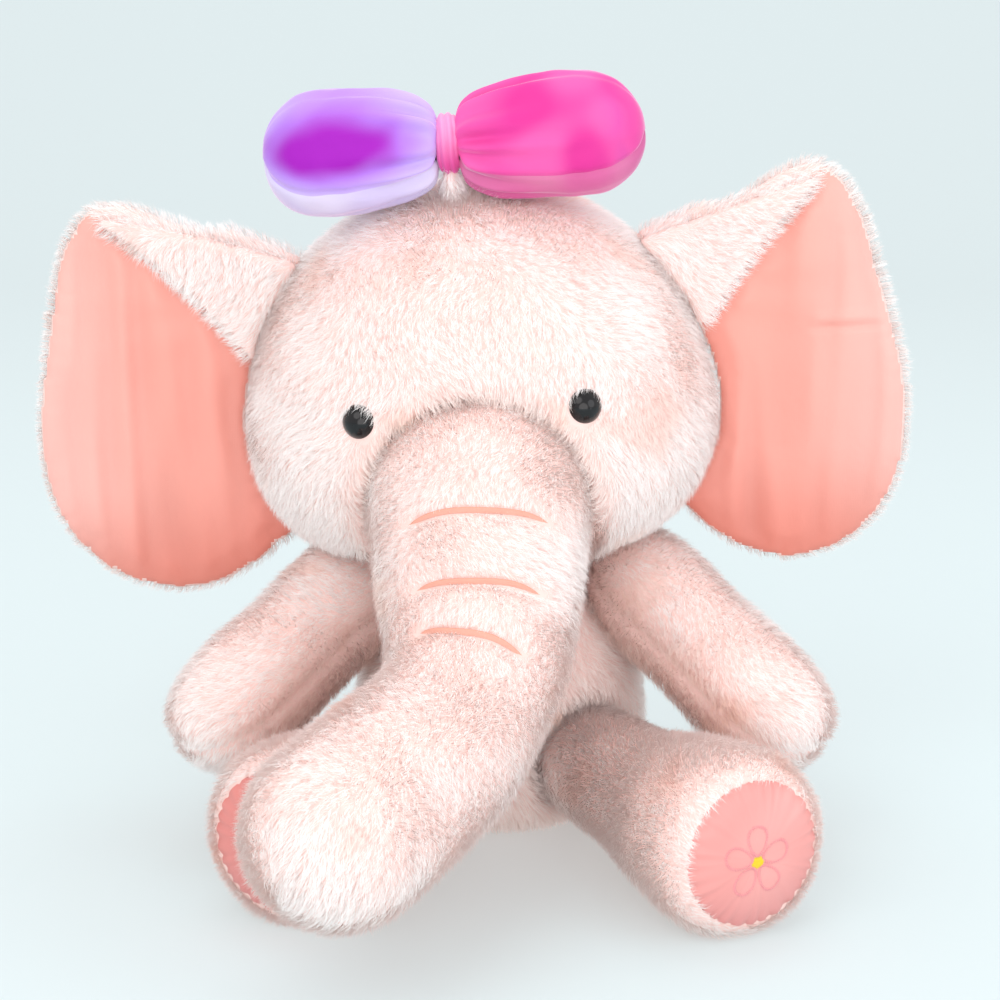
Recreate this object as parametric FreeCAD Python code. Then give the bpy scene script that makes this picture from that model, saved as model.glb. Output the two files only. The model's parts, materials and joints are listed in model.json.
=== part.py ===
import FreeCAD, Part
import math
import os

# A seated plush elephant, in millimetres. +Z is up and the elephant faces -Y, so its own left
# is at +X. The origin is the centre of the flat seat under the body.
# Every stuffed form is a fabric skin in two panels, with a small seam gap between them, around
# a separate filling. A moving form starts in a ball, which turns in a round pocket of the form
# that carries it.

V = FreeCAD.Vector
os.makedirs("parts", exist_ok=True)

# fabric and clearances
pile = 2.5                 # fur fabric, backing and dense pile together
velvet = 1.4
satin = 1.0
nested = 0.4               # between a skin and its filling
seamGap = 0.3
jointGap = 2.2             # round a ball that turns in a pocket
limbGap = 4.5              # round a shoulder or hip, whose limb widens as it leaves the body
threadRadius = 0.9

# body
seatRadius = 54
seatTrim = 0.6             # cut off the bottom of the rounded form to level the seat
sideSeam = 8               # distance behind the middle of the seam between belly and back
bodyHeight = 164
bodyWidth = 152
bodyDepth = 132
neck = V(-3, 0, 128)       # centre of the neck, where the head turns and nods
neckBall = 36
neckRoom = 8               # round the neck inside the head
neckThreadGap = 3.5
neckThreadHeight = 14      # of the gathering thread above the neck's centre

# head, in its own upright frame with its origin at the neck
headWidth = 242
headDepth = 196
headBottom = 5
headTop = 208
headRoll = 4.5             # degrees, the elephant's left side raised
headYaw = -2.0             # degrees, the face a little towards the elephant's right

# eyes
eyeSpan = 113
eyeHeight = 107
eyeDiameter = 18
eyeBulge = 6.5
eyeSeat = 0.8
stemRadius = 2.0
stemLength = 13
washerRadius = 8.5
washerThickness = 1.6

# trunk: the centres of its root, bend and end, and the radius at each
trunkRoot = V(-11, -78, 188)
trunkBend = V(-10, -162, 107)
trunkEnd = V(-73, -248.5, 80.5)
rootRadius = 55.5
bendRadius = 38
endRadius = 41
trunkCurl = 20             # degrees that the end curls up
bendGap = 3.4
creasePlaces = [34, 70, 102]       # distances from the root along the upper trunk
creaseWidths = [66, 57, 49]
creaseHeight = 4.2
creaseThickness = 1.2

# ears, in the head's frame; the left ones are given and the right ones mirror them
earRootX = 105
earRootY = 8
earBend = 330              # radius of the ear's gentle cup
earMiddle = 150            # where across the ear the cup is deepest
earFur = 3.0
earWadding = 3.2
earFold = 5.0
layerGap = 0.2
earGap = 6.8               # between the ear and the side of the head
earBottom = 34
earTop = 178
earEdge = [
    (122, 189), (155, 197), (188, 206), (204, 188), (215, 150), (225, 105), (227, 70), (219, 36), (197, 9),
    (164, -2), (136, 5), (116, 20),
]
foldTip = (187, 201)
foldUpper = (140, 188)
foldLower = (150, 166)
foldFoot = 128
earReach = {"left": 0.96, "right": 1.06}  # how far each ear reaches, against the mirror pair
earLift = {"left": 0, "right": 5}

# bow, in the head's frame
bowCentre = V(-4, -27, 235)
lobeStart = 9
lobeLength = 95
lobeHeight = 66
lobeDepth = 50
lobeNeck = 8.5
bandWidth = 11
bandHeight = 26
bandDepth = 22
shankRadius = 4            # the wrapped thread that holds the knot to the head
shankFoot = 206.5

# arms, the left one given
shoulder = V(73, -12, 126)
handCentre = V(140, -74, 75)
shoulderRadius = 26
handRadius = 29
armRoomTurn = 22           # degrees round the neck, each way, that the head is hollowed over a shoulder
armRoomGap = 8.7

# legs, whose places differ because the trunk lies on the right foot
hips = {"left": V(47, -49, 38), "right": V(-47, -43, 38)}
soles = {"left": V(120, -187, 44), "right": V(-105, -175, 44)}
hipRadius = 31
footRadius = 44
soleRadius = 36
soleThickness = 2.2

# stitched flower on the left sole
petals = 5
petalPlace = 9.5
petalRadius = 4.6
motifThickness = 0.8
flowerHeart = 3.4

# tail, label and the hand-sewn seam, all at the back
tailTop = V(0, 73, 78)
tailLength = 44
tailRadius = 5.5
tuftLength = 24
tuftRadius = 6.5
labelSize = (1.0, 17, 22)
labelPlace = V(-40, 57.8, 16)
stitchCount = 6
stitchPitch = 5.5
stitchWidth = 5
stitchStandoff = 2.0
stitchLow = 90


def inset(profile, amount):
    """Moves (radius, height) points of a side inwards; points on the axis stay on it."""
    moved = []
    for index, (r, z) in enumerate(profile):
        before = profile[max(index - 1, 0)]
        after = profile[min(index + 1, len(profile) - 1)]
        dr, dz = after[0] - before[0], after[1] - before[1]
        if r == 0:
            moved.append((0, z + (amount if index == 0 else -amount)))
        else:
            length = math.hypot(dr, dz)
            moved.append((r - amount * dz / length, z + amount * dr / length))
    return moved


def sideEdges(profile):
    """The spline through a side's points, and the flat ends that close it to the axis."""
    points = [V(r, 0, z) for r, z in profile]
    curve = Part.BSplineCurve()
    curve.interpolate(points)
    edges = [curve.toShape()]
    for end in (points[0], points[-1]):
        if end.x > 0:
            edges.append(Part.makeLine(V(0, 0, end.z), end))
    return edges


def turnedSolid(profile):
    low, high = profile[0][1], profile[-1][1]
    edges = sideEdges(profile) + [Part.makeLine(V(0, 0, low), V(0, 0, high))]
    face = Part.Face(Part.Wire(Part.__sortEdges__(edges)))
    return face.revolve(V(), V(0, 0, 1), 360)


def turnedPanel(profile, thickness, start):
    """Half of the skin of a form of revolution, from the angle `start` through half a turn."""
    inner = inset(profile, thickness)
    if profile[0][0] > 0:
        inner[0] = (profile[0][0] - thickness, profile[0][1] + thickness)
    if profile[-1][0] > 0:
        inner[-1] = (profile[-1][0] - thickness, profile[-1][1] - thickness)
    edges = sideEdges(profile) + sideEdges(inner)
    for outerEnd, innerEnd in ((profile[0], inner[0]), (profile[-1], inner[-1])):
        edges.append(Part.makeLine(V(0, 0, outerEnd[1]), V(0, 0, innerEnd[1])))
    face = Part.Face(Part.Wire(Part.__sortEdges__(edges)))
    gap = math.degrees(seamGap / max(r for r, z in profile))
    face.rotate(V(), V(0, 0, 1), start + gap / 2)
    return face.revolve(V(), V(0, 0, 1), 180 - gap)


def coreProfile(profile, thickness):
    amount = thickness + nested
    core = inset(profile, amount)
    if profile[0][0] > 0:
        core[0] = (profile[0][0] - amount, profile[0][1] + amount)
    if profile[-1][0] > 0:
        core[-1] = (profile[-1][0] - amount, profile[-1][1] - amount)
    return core


def stretched(shape, sx, sy, sz):
    matrix = FreeCAD.Matrix()
    matrix.scale(sx, sy, sz)
    return shape.transformGeometry(matrix)


def aimed(shape, start, end, across=V(0, 0, 1)):
    """Moves a form made along +Z to run from start towards end, with its X as near `across`."""
    heading = (end - start).normalize()
    side = (across - heading * across.dot(heading)).normalize()
    turn = FreeCAD.Rotation(side, heading.cross(side), heading, "ZXY")
    moved = shape.copy()
    moved.Placement = FreeCAD.Placement(start, turn).multiply(moved.Placement)
    return moved


def mirrored(shape):
    return shape.mirror(V(), V(1, 0, 0))


headPlacement = FreeCAD.Placement(
    neck,
    FreeCAD.Rotation(V(0, -1, 0), headRoll).multiply(FreeCAD.Rotation(V(0, 0, 1), headYaw)),
)


def onHead(shape):
    moved = shape.copy()
    moved.Placement = headPlacement.multiply(moved.Placement)
    return moved


def save(name, shape):
    solids = shape.Solids
    whole = solids[0] if len(solids) == 1 else Part.makeCompound(solids)
    whole.exportStep("parts/" + name + ".step")
    print(f"{name:24s} solids {len(solids)} volume {whole.Volume / 1000:8.2f} cm3 valid {whole.isValid()}")


def largest(shape):
    return max(shape.Solids, key=lambda solid: solid.Volume)


def bodySide():
    half = bodyWidth / 2
    return [
        (seatRadius, -seatTrim), (half * 0.9, 9), (half, 38), (half * 0.985, 66),
        (half * 0.86, 98), (half * 0.63, 122), (neckBall, 138), (neckBall * 0.72, 156), (0, bodyHeight),
    ]


def headSide():
    half = headWidth / 2
    return [
        (0, headBottom), (half * 0.38, 9), (half * 0.68, 23), (half * 0.9, 45), (half, 75),
        (half * 0.985, 104), (half * 0.89, 141), (half * 0.715, 174), (half * 0.42, 199), (0, headTop),
    ]


def armSide():
    reach = (handCentre - shoulder).Length
    ball, hand = shoulderRadius, handRadius
    return [
        (0, -ball), (ball * 0.72, -ball * 0.7), (ball, 0), (ball + 2, reach * 0.33), (ball + 4, reach * 0.67),
        (hand, reach), (hand * 0.74, reach + hand * 0.7), (0, reach + hand * 1.02),
    ]


def legSide(side):
    length = (soles[side] - hips[side]).Length
    ball, foot = hipRadius, footRadius
    return [
        (0, -ball), (ball * 0.72, -ball * 0.7), (ball, 0), (ball + 3, length * 0.4), (foot - 2, length * 0.7),
        (foot, length - 22), (foot - 2.2, length - 7), (soleRadius + 2, length),
    ]


def lobeSide():
    half = lobeHeight / 2
    return [
        (lobeNeck, lobeStart), (half * 0.72, lobeStart + 14), (half * 0.93, lobeLength * 0.36),
        (half, lobeLength * 0.58), (half * 0.93, lobeLength * 0.8), (half * 0.6, lobeLength * 0.95),
        (0, lobeLength + 1),
    ]


def taperedSide(start, end, startRadius, endRadius, rounded):
    """A ball drawn out to a second ball, or to a flat end, with straight sides between them."""
    length = (end - start).Length
    lean = math.asin((startRadius - endRadius) / length)
    low = [
        (startRadius * math.cos(angle), startRadius * math.sin(angle))
        for angle in [math.radians(-90 + step * (90 + math.degrees(lean)) / 6) for step in range(7)]
    ]
    high = [(endRadius * math.cos(lean), length + endRadius * math.sin(lean))]
    if rounded:
        span = math.pi / 2 - lean
        high += [
            (endRadius * math.cos(angle), length + endRadius * math.sin(angle))
            for angle in [lean + span * step / 6 for step in range(1, 7)]
        ]
    low[0] = (0, -startRadius)
    if rounded:
        high[-1] = (0, length + endRadius)
    between = [
        (low[-1][0] + (high[0][0] - low[-1][0]) * share, low[-1][1] + (high[0][1] - low[-1][1]) * share)
        for share in (0.08, 0.2, 0.4, 0.6, 0.8, 0.92)
    ]
    return low + between + high


def headHalfWidth(height):
    points = headSide()
    for (r1, z1), (r2, z2) in zip(points, points[1:]):
        if z1 <= height <= z2:
            return r1 + (r2 - r1) * (height - z1) / (z2 - z1)
    return 0.0


def makeBody():
    shape = (1, bodyDepth / bodyWidth, 1)
    rooms = [Part.makeSphere(hipRadius + limbGap, hips[side]) for side in hips]
    rooms += [Part.makeSphere(shoulderRadius + limbGap, shoulderPlace(sign)) for sign in (1, -1)]
    reach = bodyWidth
    ground = Part.makeBox(2 * reach, 2 * reach, reach, V(-reach, -reach, -reach))
    hollow = turnedSolid(coreProfile(bodySide(), pile - nested))
    skin = stretched(turnedSolid(bodySide()).cut(hollow), *shape).cut(rooms + [ground])
    starts = {"belly_panel": sideSeam - seamGap / 2 - reach, "back_panel": sideSeam + seamGap / 2}
    for name, start in starts.items():
        side = Part.makeBox(2 * reach, reach, 2 * reach, V(-reach, start, -reach / 2))
        save(name, largest(skin.common(side)))
    filling = stretched(turnedSolid(coreProfile(bodySide(), pile)), *shape)
    save("body_filling", largest(filling.cut(rooms)))
    thread = Part.makeTorus(neckBall + neckThreadGap, threadRadius, neck + V(0, 0, neckThreadHeight))
    save("neck_thread", thread)


def makeHead():
    shape = (1, headDepth / headWidth, 1)
    heading = trunkBend - trunkRoot
    wide, narrow = rootRadius + jointGap, bendRadius + jointGap
    rooms = [
        Part.makeSphere(wide, trunkRoot),
        Part.makeCone(wide, narrow, heading.Length, trunkRoot, heading),
        Part.makeSphere(neckBall + neckRoom, neck),
    ]
    rooms += shoulderRooms()
    for side, sign in (("left", 1), ("right", -1)):
        eye, room, washer = eyePieces(sign)
        rooms.append(room)
        save("eye_" + side, eye)
        save("eye_washer_" + side, washer)
    for side, start in (("left", -90), ("right", 90)):
        panel = onHead(stretched(turnedPanel(headSide(), pile, start), *shape))
        save("head_" + side + "_panel", largest(panel.cut(rooms)))
    filling = onHead(stretched(turnedSolid(coreProfile(headSide(), pile)), *shape))
    save("head_filling", largest(filling.cut(rooms)))


def shoulderPlace(sign):
    return V(sign * shoulder.x, shoulder.y, shoulder.z)


def shoulderRooms():
    """Hollows under the head, along the arcs on which the shoulders pass it as the head turns."""
    rooms = []
    for sign in (1, -1):
        for turn in (-armRoomTurn, 0, armRoomTurn):
            room = Part.makeSphere(shoulderRadius + armRoomGap, shoulderPlace(sign))
            room.rotate(neck, V(0, 0, 1), turn)
            rooms.append(room)
    return rooms


def eyePieces(sign):
    """A domed safety eye with its stem, the room that both take, and the washer behind the fabric."""
    halfWidth = headHalfWidth(eyeHeight)
    halfDepth = halfWidth * headDepth / headWidth
    x = sign * eyeSpan / 2
    y = -halfDepth * math.sqrt(1 - (x / halfWidth) ** 2)
    outward = V(x / halfWidth ** 2, y / halfDepth ** 2, 0).normalize()
    surface = V(x, y, eyeHeight)
    radius = eyeDiameter / 2
    arch = (radius ** 2 + eyeBulge ** 2) / (2 * eyeBulge)
    dome = Part.makeSphere(arch, V(0, 0, eyeBulge - arch)).common(Part.makeCylinder(radius, 20))
    stem = Part.makeCylinder(stemRadius, stemLength, V(0, 0, -stemLength))
    seat = Part.makeCylinder(radius, eyeSeat, V(0, 0, -eyeSeat))
    eye = dome.fuse([seat, stem]).removeSplitter()
    behind = -pile - 1.0
    room = Part.makeCylinder(stemRadius + 0.3, stemLength + 1, V(0, 0, -stemLength - 1))
    room = room.fuse([
        Part.makeCylinder(radius + 0.4, 12, V(0, 0, -eyeSeat - 0.4)),
        Part.makeCylinder(washerRadius + 0.4, washerThickness + 1.2, V(0, 0, behind - washerThickness - 0.6)),
    ])
    washer = Part.makeCylinder(washerRadius, washerThickness, V(0, 0, behind - washerThickness))
    washer = washer.cut(Part.makeCylinder(stemRadius + 0.1, 20, V(0, 0, -15)))
    return [onHead(aimed(piece, surface, surface + outward)) for piece in (eye, room, washer)]


def makeTrunk():
    upperSide = taperedSide(trunkRoot, trunkBend, rootRadius, bendRadius, False)
    tipSide = taperedSide(trunkBend, trunkEnd, bendRadius, endRadius, True)
    heading = trunkEnd - trunkBend
    straight = Part.makeCylinder(endRadius + bendGap, heading.Length, trunkBend, heading)
    curled = straight.copy()
    curled.rotate(trunkBend, heading.cross(V(0, 0, 1)), trunkCurl)
    rooms = [Part.makeSphere(bendRadius + bendGap, trunkBend), straight, curled]
    for side, start in (("left", -90), ("right", 90)):
        panel = aimed(turnedPanel(upperSide, pile, start), trunkRoot, trunkBend, V(1, 0, 0))
        save("trunk_upper_" + side + "_panel", largest(panel.cut(rooms)))
        panel = aimed(turnedPanel(tipSide, pile, start), trunkBend, trunkEnd, V(1, 0, 0))
        save("trunk_tip_" + side + "_panel", panel)
    filling = aimed(turnedSolid(coreProfile(upperSide, pile)), trunkRoot, trunkBend)
    save("trunk_upper_filling", largest(filling.cut(rooms)))
    save("trunk_tip_filling", aimed(turnedSolid(coreProfile(tipSide, pile)), trunkBend, trunkEnd))
    length = (trunkBend - trunkRoot).Length
    for number, (place, width) in enumerate(zip(creasePlaces, creaseWidths), 1):
        radius = rootRadius + (bendRadius - rootRadius) * place / length + 1.6
        ring = Part.makeCylinder(radius + creaseThickness, creaseHeight, V(0, 0, place - creaseHeight / 2))
        ring = ring.cut(Part.makeCylinder(radius, 400, V(0, 0, -200)))
        window = Part.makeBox(200, width, 400, V(0, -width / 2, -200))
        strip = aimed(ring.common(window), trunkRoot, trunkBend, V(0, -1, 1))
        save("trunk_crease_" + str(number), largest(strip.cut(rooms)))


def earWall(front, thickness):
    """A cupped wall that a flat outline is cut from."""
    middle = V(earMiddle, earRootY - front - earBend, -100)
    outer = Part.makeCylinder(earBend, 460, middle)
    return outer.cut(Part.makeCylinder(earBend - thickness, 460, middle))


def prism(edges):
    face = Part.Face(Part.Wire(Part.__sortEdges__(edges)))
    solid = face.extrude(V(0, 200, 0))
    solid.translate(V(0, -120, 0))
    return solid


def splineEdge(points):
    curve = Part.BSplineCurve()
    curve.interpolate([V(x, 0, z) for x, z in points])
    return curve.toShape()


def straightEdge(start, end):
    return Part.makeLine(V(start[0], 0, start[1]), V(end[0], 0, end[1]))


def earPoint(side, x, z):
    return (earRootX + (x - earRootX) * earReach[side], z + earLift[side])


def earRoot(top, bottom, steps):
    heights = [top - (top - bottom) * step / steps for step in range(steps + 1)]
    return [(headHalfWidth(height) + earGap, height) for height in heights]


def earEdges(side):
    """The ear's outline: its free edge, and a root that follows the side of the head."""
    free = [earPoint(side, x, z) for x, z in earEdge]
    root = earRoot(earTop, earBottom, 6)
    ends = [straightEdge(root[0], free[0]), straightEdge(root[-1], free[-1])]
    return [splineEdge(free), splineEdge(root)] + ends


def foldEdges(side):
    tip, upper, lower = (earPoint(side, *point) for point in (foldTip, foldUpper, foldLower))
    root = earRoot(earTop - 2, foldFoot, 3)
    return [splineEdge([root[0], upper, tip]), splineEdge([tip, lower, root[-1]]), splineEdge(root)]


def makeEars():
    layers = {"ear_back_": earFur, "ear_wadding_": earWadding, "ear_lining_": satin, "ear_fold_": earFold}
    for side in ("left", "right"):
        front = 0.0
        for name, thickness in layers.items():
            edges = foldEdges(side) if name == "ear_fold_" else earEdges(side)
            piece = largest(prism(edges).common(earWall(front, thickness)))
            front += thickness + layerGap
            save(name + side, onHead(piece if side == "left" else mirrored(piece)))


def makeBow():
    shape = (1, lobeDepth / lobeHeight, 1)
    pieces = {
        "bow_upper_": turnedPanel(lobeSide(), velvet, -90),
        "bow_under_": turnedPanel(lobeSide(), velvet, 90),
        "bow_filling_": turnedSolid(coreProfile(lobeSide(), velvet)),
    }
    for name, piece in pieces.items():
        along = aimed(piece, V(), V(1, 0, 0), V(0, 0, 1))
        along = stretched(along, *shape)
        for side in ("left", "right"):
            lobe = along.copy() if side == "left" else mirrored(along)
            lobe.translate(bowCentre)
            save(name + side, onHead(lobe))
    for name, radius, hole, width in (
        ("knot_band", bandHeight / 2, bandHeight / 2 - 2.2, bandWidth),
        ("knot_core", bandHeight / 2 - 2.6, 0, bandWidth - 1),
    ):
        piece = Part.makeCylinder(radius, width, V(0, 0, -width / 2))
        if hole:
            piece = piece.cut(Part.makeCylinder(hole, width * 2, V(0, 0, -width)))
        piece = stretched(aimed(piece, V(), V(1, 0, 0)), 1, bandDepth / bandHeight, 1)
        piece.translate(bowCentre)
        save(name, onHead(piece))
    foot = shankFoot + 1
    top = bowCentre.z - bandHeight / 2 - layerGap
    shank = Part.makeCylinder(shankRadius, top - foot, V(bowCentre.x, bowCentre.y, foot))
    save("bow_shank", onHead(shank))


def makeArms():
    across = (handCentre - shoulder).cross(V(0, 0, 1)).normalize()
    filling = turnedSolid(coreProfile(armSide(), pile))
    for name, piece in (
        ("inner_panel", turnedPanel(armSide(), pile, 90)),
        ("outer_panel", turnedPanel(armSide(), pile, -90)),
        ("filling", filling),
    ):
        piece = aimed(piece, shoulder, handCentre, across.cross(handCentre - shoulder))
        save("arm_left_" + name, piece)
        save("arm_right_" + name, mirrored(piece))


def makeLegs():
    for side in ("left", "right"):
        hip, sole = hips[side], soles[side]
        profile = legSide(side)
        for name, start in (("top_panel", -90), ("under_panel", 90)):
            save("leg_" + side + "_" + name, aimed(turnedPanel(profile, pile, start), hip, sole))
        save("leg_" + side + "_filling", aimed(turnedSolid(coreProfile(profile, pile)), hip, sole))
        pad = Part.makeCylinder(soleRadius, soleThickness, V(0, 0, 0.3))
        save("sole_pad_" + side, aimed(pad, sole, sole + (sole - hip)))
    face = soleThickness + 0.5
    strand = motifThickness / 2
    flower = []
    for number in range(petals):
        angle = 2 * math.pi * number / petals
        place = V(petalPlace * math.cos(angle), petalPlace * math.sin(angle), face + strand)
        flower.append(Part.makeTorus(petalRadius - strand, strand, place))
    heart = Part.makeCylinder(flowerHeart, motifThickness, V(0, 0, face))
    sole, beyond = soles["left"], soles["left"] * 2 - hips["left"]
    save("sole_flower", aimed(Part.makeCompound(flower), sole, beyond))
    save("sole_flower_heart", aimed(heart, sole, beyond))


def makeTail():
    """A fabric tail with a tuft, hanging close behind the body's back panel."""
    save("tail", Part.makeCylinder(tailRadius, tailLength, tailTop - V(0, 0, tailLength)))
    half = tuftRadius
    side = [
        (0, 0), (half * 0.6, tuftLength * 0.1), (half, tuftLength * 0.4), (half * 0.7, tuftLength * 0.8),
        (0, tuftLength),
    ]
    tuft = turnedSolid(side)
    tuft.translate(tailTop - V(0, 0, tailLength + layerGap + tuftLength))
    save("tail_tuft", tuft)


def makeBackTrim():
    """The blank care label and the ladder stitches that close the back seam."""
    label = Part.makeBox(*labelSize)
    label.translate(labelPlace)
    save("care_label", label)
    stitches = []
    for number in range(stitchCount):
        height = stitchLow + number * stitchPitch
        depth = backDepth(height) + stitchStandoff
        start = V(-stitchWidth / 2, depth, height)
        stitches.append(Part.makeCylinder(threadRadius * 0.6, stitchWidth, start, V(1, 0, 0)))
    save("closing_stitches", Part.makeCompound(stitches))


def backDepth(height):
    points = bodySide()
    for (r1, z1), (r2, z2) in zip(points, points[1:]):
        if z1 <= height <= z2:
            return (r1 + (r2 - r1) * (height - z1) / (z2 - z1)) * bodyDepth / bodyWidth
    return 0.0


makeBody()
makeHead()
makeTrunk()
makeEars()
makeBow()
makeArms()
makeLegs()
makeTail()
makeBackTrim()
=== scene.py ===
import bpy
import json
import math
import numpy as np
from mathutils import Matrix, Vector
from mathutils.bvhtree import BVHTree
from mathutils.kdtree import KDTree


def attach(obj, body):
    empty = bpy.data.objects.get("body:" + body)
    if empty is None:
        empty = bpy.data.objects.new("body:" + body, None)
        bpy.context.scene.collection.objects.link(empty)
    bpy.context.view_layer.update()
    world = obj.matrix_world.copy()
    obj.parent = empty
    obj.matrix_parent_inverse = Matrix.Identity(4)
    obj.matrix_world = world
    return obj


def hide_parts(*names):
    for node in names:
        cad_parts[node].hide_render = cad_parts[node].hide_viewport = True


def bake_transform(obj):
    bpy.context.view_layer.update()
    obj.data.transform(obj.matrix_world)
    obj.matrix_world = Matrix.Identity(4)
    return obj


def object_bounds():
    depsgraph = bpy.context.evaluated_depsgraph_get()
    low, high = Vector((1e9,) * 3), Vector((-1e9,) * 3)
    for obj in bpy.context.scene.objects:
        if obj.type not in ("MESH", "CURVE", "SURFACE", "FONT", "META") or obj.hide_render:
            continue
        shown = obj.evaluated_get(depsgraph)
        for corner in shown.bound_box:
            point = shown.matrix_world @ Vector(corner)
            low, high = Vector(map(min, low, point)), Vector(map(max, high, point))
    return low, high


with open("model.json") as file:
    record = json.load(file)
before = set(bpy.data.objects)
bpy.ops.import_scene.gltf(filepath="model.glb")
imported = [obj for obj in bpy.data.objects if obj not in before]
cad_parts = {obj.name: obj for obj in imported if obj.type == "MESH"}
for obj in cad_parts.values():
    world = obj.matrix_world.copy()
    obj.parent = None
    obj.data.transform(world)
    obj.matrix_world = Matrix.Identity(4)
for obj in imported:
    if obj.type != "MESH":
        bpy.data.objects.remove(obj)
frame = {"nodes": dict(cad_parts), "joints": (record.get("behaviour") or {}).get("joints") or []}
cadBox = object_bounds()
nodes = frame["nodes"]
joints = {joint["name"]: joint for joint in frame["joints"]}
scene = bpy.context.scene
mm = 0.001


def say(stage):
    print("elephant:", stage, flush=True)


def linear(colour):
    # sRGB hex to the linear values that shaders take
    values = [int(colour[place:place + 2], 16) / 255 for place in (1, 3, 5)]
    return np.array([v / 12.92 if v <= 0.04045 else ((v + 0.055) / 1.055) ** 2.4 for v in values])


def unit(vectors):
    length = np.linalg.norm(vectors, axis=-1, keepdims=True)
    return vectors / np.maximum(length, 1e-9)


def flatten(vectors, normals):
    # what is left of the vectors in the plane across the normals
    return vectors - normals * np.sum(vectors * normals, axis=-1, keepdims=True)


def step(values, low, high):
    share = np.clip((values - low) / (high - low), 0, 1)
    return share * share * (3 - 2 * share)


def softNoise(points, size, seed, waves=9):
    # smooth and seeded, about -1 to 1, with bumps of about that size in metres
    rng = np.random.default_rng(seed)
    total = np.zeros(len(points))
    for _ in range(waves):
        direction = unit(rng.normal(size=3)) * rng.uniform(0.6, 1.5) * math.pi / size
        bend = unit(rng.normal(size=3)) * 0.7 * math.pi / size
        phase = rng.uniform(0, 2 * math.pi, 2)
        total += np.sin(points @ direction + phase[0] + 1.4 * np.sin(points @ bend + phase[1]))
    return total / math.sqrt(waves)


# the head's own axes, from the joints that it carries
headUp = np.array(joints["ear_left_flap"]["axis"])
headBack = -np.array(joints["bow_left_lift"]["axis"])
headLeft = np.cross(headBack, headUp)
headAxes = np.array([headLeft, headBack, headUp])


def placeOf(name):
    return np.array(joints[name]["pos_m"])


def inHead(points):
    return (np.asarray(points) - placeOf("head_nod")) @ headAxes.T


def fromHead(points):
    return np.asarray(points) @ headAxes + placeOf("head_nod")


# meshes

def pointsOf(mesh):
    flat = np.empty(len(mesh.vertices) * 3, np.float32)
    mesh.vertices.foreach_get("co", flat)
    return flat.reshape(-1, 3).astype(float)


def normalsOf(mesh):
    flat = np.empty(len(mesh.vertices) * 3, np.float32)
    mesh.vertices.foreach_get("normal", flat)
    return flat.reshape(-1, 3).astype(float)


def movePoints(mesh, points):
    mesh.vertices.foreach_set("co", np.asarray(points, np.float32).ravel())
    mesh.update()


def newPiece(name, points, faces, material):
    mesh = bpy.data.meshes.new(name)
    mesh.from_pydata([tuple(point) for point in points], [], faces)
    mesh.validate()
    piece = bpy.data.objects.new(name, mesh)
    scene.collection.objects.link(piece)
    mesh.materials.append(material)
    mesh.shade_smooth()
    return piece


def ringFaces(rows, count):
    # the faces between rings that have as many points each
    return [
        (row * count + column, (row + 1) * count + column,
         (row + 1) * count + (column + 1) % count, row * count + (column + 1) % count)
        for row in range(rows - 1) for column in range(count)
    ]


def treeOf(mesh):
    corners = [tuple(point) for point in pointsOf(mesh)]
    return BVHTree.FromPolygons(corners, [tuple(face.vertices) for face in mesh.polygons])


def cadPoints(*names):
    return np.concatenate([pointsOf(nodes[name].data) for name in names])


def settle(piece):
    # the mesh as its modifiers leave it, and no modifiers
    depsgraph = bpy.context.evaluated_depsgraph_get()
    mesh = bpy.data.meshes.new_from_object(piece.evaluated_get(depsgraph))
    piece.modifiers.clear()
    piece.data = mesh


def skinFrom(name, nodeName, settings, material):
    # a closed skin round a filling, grown to the face of the fabric that covers it
    points = cadPoints(nodeName)
    faces = [tuple(face.vertices) for face in nodes[nodeName].data.polygons]
    skin = newPiece(name, points, faces, material)
    remesh = skin.modifiers.new("remesh", "REMESH")
    remesh.mode = "VOXEL"
    remesh.voxel_size = settings["voxel"] * mm
    smooth = skin.modifiers.new("smooth", "SMOOTH")
    smooth.iterations = settings["smoothing"]
    smooth.factor = 0.5
    settle(skin)
    movePoints(skin.data, pointsOf(skin.data) + normalsOf(skin.data) * settings["grow"] * mm)
    skin.data.shade_smooth()
    return skin


def tint(mesh, colours):
    # the colour of each point, which the material reads as "tint"
    layer = mesh.color_attributes.new("tint", "FLOAT_COLOR", "POINT")
    values = np.ones((len(mesh.vertices), 4), np.float32)
    values[:, :3] = colours
    layer.data.foreach_set("color", values.ravel())


def mix(first, second, share):
    share = np.asarray(share)[..., None]
    return first * (1 - share) + second * share


def puff(piece, settings):
    # lets the stuffing push the cloth out, as far as the cap
    cloth = piece.modifiers.new("stuffing", "CLOTH")
    cloth.settings.quality = 6
    cloth.settings.mass = 0.3
    cloth.settings.tension_stiffness = settings["tension"]
    cloth.settings.compression_stiffness = settings["tension"]
    cloth.settings.bending_stiffness = settings["bending"]
    cloth.settings.use_pressure = True
    cloth.settings.uniform_pressure_force = settings["pressure"]
    cloth.settings.effector_weights.gravity = 0
    before = pointsOf(piece.data)
    for number in range(1, settings["frames"] + 1):
        scene.frame_set(number)
    settle(piece)
    scene.frame_set(1)
    moved = pointsOf(piece.data) - before
    far = np.linalg.norm(moved, axis=1, keepdims=True)
    movePoints(piece.data, before + moved * np.minimum(1, settings["cap"] * mm / np.maximum(far, 1e-9)))
    piece.data.shade_smooth()


# materials

def addNode(tree, kind, settings, links=()):
    node = tree.nodes.new(kind)
    for name, value in settings.items():
        if name in node.inputs:
            node.inputs[name].default_value = value
        else:
            setattr(node, name, value)
    for socket, source in dict(links).items():
        tree.links.new(source, node.inputs[socket])
    return node


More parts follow.
